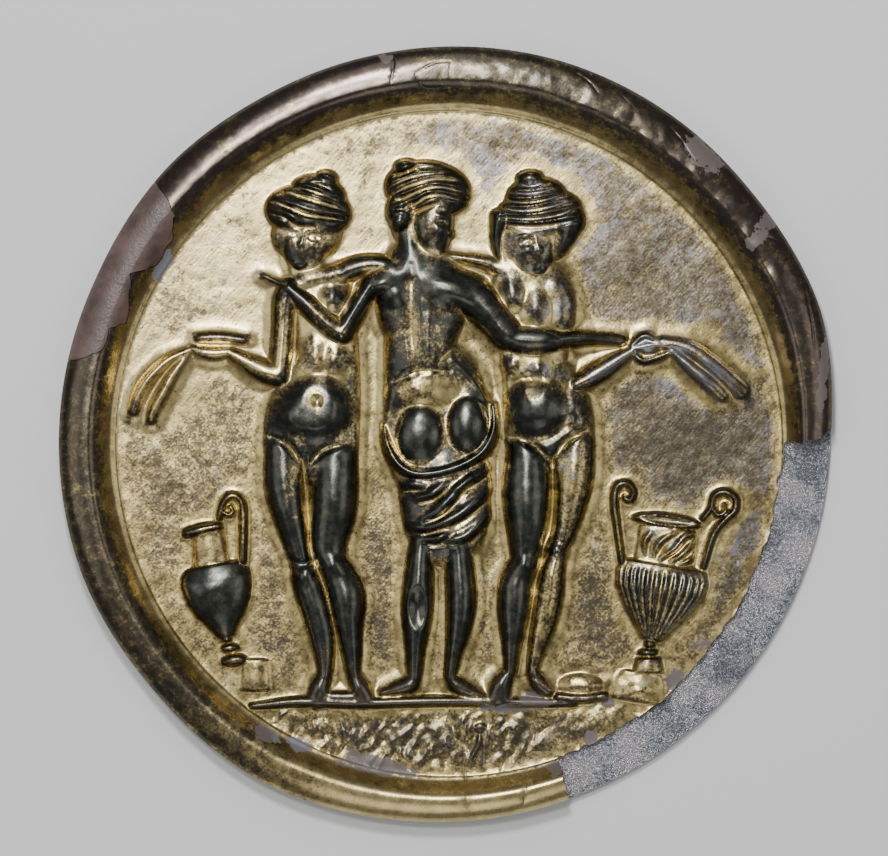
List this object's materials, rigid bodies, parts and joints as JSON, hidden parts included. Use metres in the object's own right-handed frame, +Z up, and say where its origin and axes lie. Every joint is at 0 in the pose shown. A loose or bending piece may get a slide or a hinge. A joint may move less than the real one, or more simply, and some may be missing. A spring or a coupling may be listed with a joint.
{
  "type": "round bronze hand mirror with relief back",
  "caption": "Round bronze mirror lying face down, its gilded relief back showing three standing women between two vessels inside a rolled rim.",
  "frame": {"origin": "middle of the flat polished face, which is the underside", "axes": "+Z up, through the thickness towards the relief; +Y towards the figures' heads; +X to the right of the figures as seen from above"},
  "size_m": [0.1198, 0.1202, 0.0064],
  "materials": {
    "bare_bronze": "grey corroded granular bronze",
    "gilded_bronze": "worn gilding over dark bronze patina",
    "repair_fill": "smooth tinted filler"
  },
  "bodies": {
    "root": {"mirror_disc": "bare_bronze", "relief_sheet": "gilded_bronze", "rim_fill": "repair_fill"}
  },
  "joints": []
}
